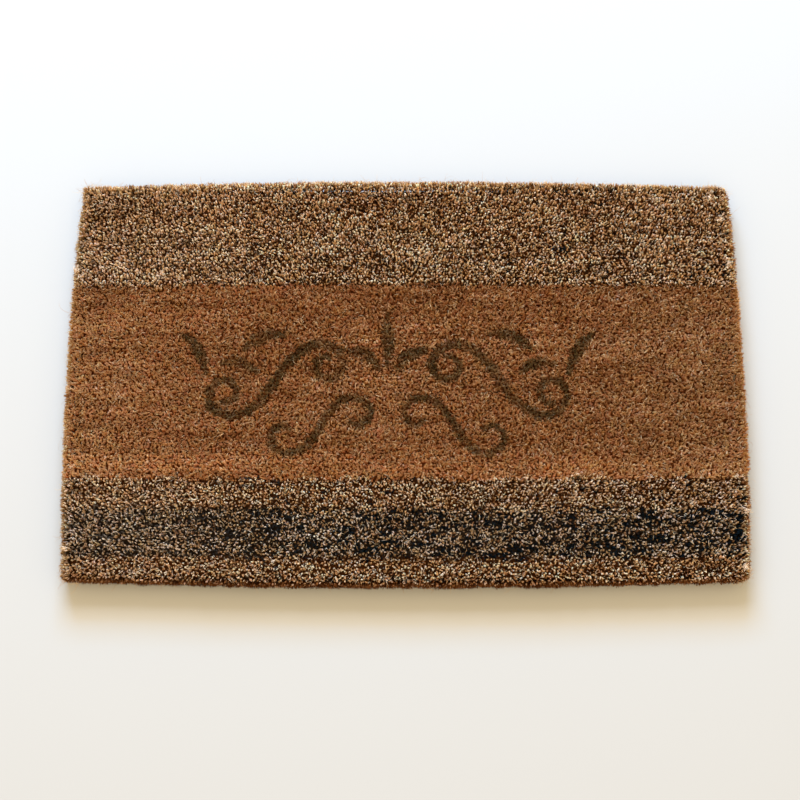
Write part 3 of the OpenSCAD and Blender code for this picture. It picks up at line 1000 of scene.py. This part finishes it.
def build_stitches(node, along_x, count):
    """Loops of twine over a braid or cord, with both legs down into the mat."""
    low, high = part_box(node)
    rng = np.random.default_rng(SEED + 60 + len(node))
    twine_r = 0.6 * MM
    foot, shoulder = low[2] + twine_r, high[2] - 3 * MM
    crown = high[2] - twine_r - shoulder
    t = np.linspace(0, math.pi, 17)
    lateral = -STITCH_LEG * np.cos(t)
    height = shoulder + crown * np.sin(t)
    leg = np.linspace(foot, shoulder, 6)[:-1]
    lateral = np.concatenate([np.full(5, -STITCH_LEG), lateral, np.full(5, STITCH_LEG)])
    height = np.concatenate([leg, height, leg[::-1]])
    places = (np.arange(count) - (count - 1) / 2) * STITCH_PITCH
    lean = rng.normal(0, 0.5, count)[:, None] * MM * np.cos(lateral / STITCH_LEG * math.pi / 2)
    centres = np.zeros((count, len(height), 3))
    run, side = (0, 1) if along_x else (1, 0)
    centres[..., run] = places[:, None] + lean
    centres[..., side] = (low[side] + high[side]) / 2 + lateral
    centres[..., 2] = height
    way = X_AXIS if along_x else Y_AXIS
    plies = twisted(centres, offset=0.27 * MM, pitch=3.2 * MM, count=2, lateral=way, seed=60)
    twine = yarn_piece(
        f"{node}_twine", plies, radius=0.33 * MM, sides=6, lateral=way, tone=TWINE, material=TWINE_MAT,
        vary=0.1,
    )
    return replace(twine, node)


def build_knots():
    """Small overhand knots beside the last stitches, where each run of stitching twine ends."""
    node = "tie_off_knots"
    low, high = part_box(node)
    t = np.linspace(0, 2 * math.pi, 72)
    knot = np.stack([np.sin(t) + 2 * np.sin(2 * t), np.cos(t) - 2 * np.cos(2 * t), -np.sin(3 * t)], -1)
    knot *= 0.28 * MM
    facing_y, facing_x = knot[:, [0, 2, 1]], knot[:, [2, 0, 1]]
    long_run = (LONG_STITCHES - 1) / 2 * STITCH_PITCH + KNOT_GAP
    short_run = (SHORT_STITCHES - 1) / 2 * STITCH_PITCH + KNOT_GAP
    height = (low[2] + high[2]) / 2
    centres = []
    for side_x in (-1, 1):
        for side_y in (-1, 1):
            centres.append(facing_y + [side_x * long_run, side_y * (high[1] - KNOT_R), height])
            centres.append(facing_x + [side_x * (high[0] - KNOT_R), side_y * short_run, height])
    piece = yarn_piece(
        "tie_off_knots_twine", np.array(centres), radius=0.42 * MM, sides=6, lateral=(0.3, 0.2, 0.93),
        tone=TWINE, material=TWINE_MAT,
    )
    return replace(piece, node)


# ---- Assembly ----
BRAIDS = ("front_end_braid", "back_end_braid")
CORDS = ("left_selvedge_cord", "right_selvedge_cord")
pile = build_pile()
inner = [
    build_chains("warp_chains_odd", 1),
    build_chains("warp_chains_even", 0),
    *build_picks(),
    *[build_braid(node) for node in BRAIDS],
    *[build_selvedge(node) for node in CORDS],
    *[build_fuzz(node, 800) for node in BRAIDS],
    *[build_fuzz(node, 480) for node in CORDS],
    build_stitches("front_braid_stitches", True, LONG_STITCHES),
    build_stitches("back_braid_stitches", True, LONG_STITCHES),
    build_stitches("left_selvedge_lashing", False, SHORT_STITCHES),
    build_stitches("right_selvedge_lashing", False, SHORT_STITCHES),
    build_knots(),
]
strays = [build_strays(), build_frays()]
loops = build_root_loops()
bed = build_bed()

# ---- Studio ----
CAMERA_ELEVATION = math.radians(78.54)
CAMERA_DISTANCE = 1.3026
CAMERA_TARGET = (-0.0062, -0.0222, 0.0)
SENSOR_MM, LENS_MM = 36, 51.75
FLOOR_HALF = 8
FLOOR_TONE = 0.56
ROOM_COLOUR = (1.0, 0.80, 0.50)
ROOM_STRENGTH = 1.15
WINDOW_AZIMUTH = 98
WINDOW_WIDTH = 2.5
WINDOW_DISTANCE = 4.0
# Each part of the window: name, elevation in degrees, height in metres, power in watts, colour
WINDOW_PARTS = [
    ("window_high", 34, 0.93, 121, (0.83, 0.885, 0.97)),
    ("window_low", 22, 0.8, 290, (0.235, 0.55, 0.98)),
]


def build_camera():
    """A camera in front of the mat that looks steeply down at it."""
    data = bpy.data.cameras.new("camera")
    data.sensor_width = SENSOR_MM
    data.lens = LENS_MM
    camera = bpy.data.objects.new("camera", data)
    x, y, z = CAMERA_TARGET
    camera.location = (
        x, y - CAMERA_DISTANCE * math.cos(CAMERA_ELEVATION), z + CAMERA_DISTANCE * math.sin(CAMERA_ELEVATION),
    )
    camera.rotation_euler = (math.pi / 2 - CAMERA_ELEVATION, 0, 0)
    bpy.context.scene.collection.objects.link(camera)
    bpy.context.scene.camera = camera


def build_floor():
    """The pale, matt floor on which the mat lies."""
    me = bpy.data.meshes.new("floor")
    corners = [(x * FLOOR_HALF, y * FLOOR_HALF, 0) for x, y in ((-1, -1), (1, -1), (1, 1), (-1, 1))]
    me.from_pydata(corners, [], [(0, 1, 2, 3)])
    floor = bpy.data.objects.new("floor", me)
    bpy.context.scene.collection.objects.link(floor)
    mat = bpy.data.materials.new("pale_floor")
    mat.use_nodes = True
    shader = mat.node_tree.nodes["Principled BSDF"]
    shader.inputs["Base Color"].default_value = (FLOOR_TONE, FLOOR_TONE, FLOOR_TONE, 1)
    shader.inputs["Roughness"].default_value = 0.9
    shader.inputs["Specular IOR Level"].default_value = 0.1
    me.materials.append(mat)


def aim(ob, azimuth, elevation, distance):
    """Places a light so that it shines at the mat's middle. Azimuth turns from +X towards +Y."""
    a, e = math.radians(azimuth), math.radians(elevation)
    ob.location = (
        distance * math.cos(e) * math.cos(a), distance * math.cos(e) * math.sin(a), distance * math.sin(e),
    )
    ob.rotation_euler = (math.pi / 2 - e, 0, a + math.pi / 2)


def build_lights():
    """A window behind the mat, cool low down and neutral high up, in a room with warm walls."""
    for name, elevation, height, power, colour in WINDOW_PARTS:
        data = bpy.data.lights.new(name, "AREA")
        data.shape = "RECTANGLE"
        data.size, data.size_y = WINDOW_WIDTH, height
        data.energy = power
        data.color = colour
        window = bpy.data.objects.new(name, data)
        aim(window, WINDOW_AZIMUTH, elevation, WINDOW_DISTANCE)
        bpy.context.scene.collection.objects.link(window)
    world = bpy.data.worlds.new("room")
    world.use_nodes = True
    back = world.node_tree.nodes["Background"]
    back.inputs["Color"].default_value = (*ROOM_COLOUR, 1)
    back.inputs["Strength"].default_value = ROOM_STRENGTH
    bpy.context.scene.world = world
    bpy.context.scene.view_settings.view_transform = "Standard"


build_camera()
build_floor()
build_lights()
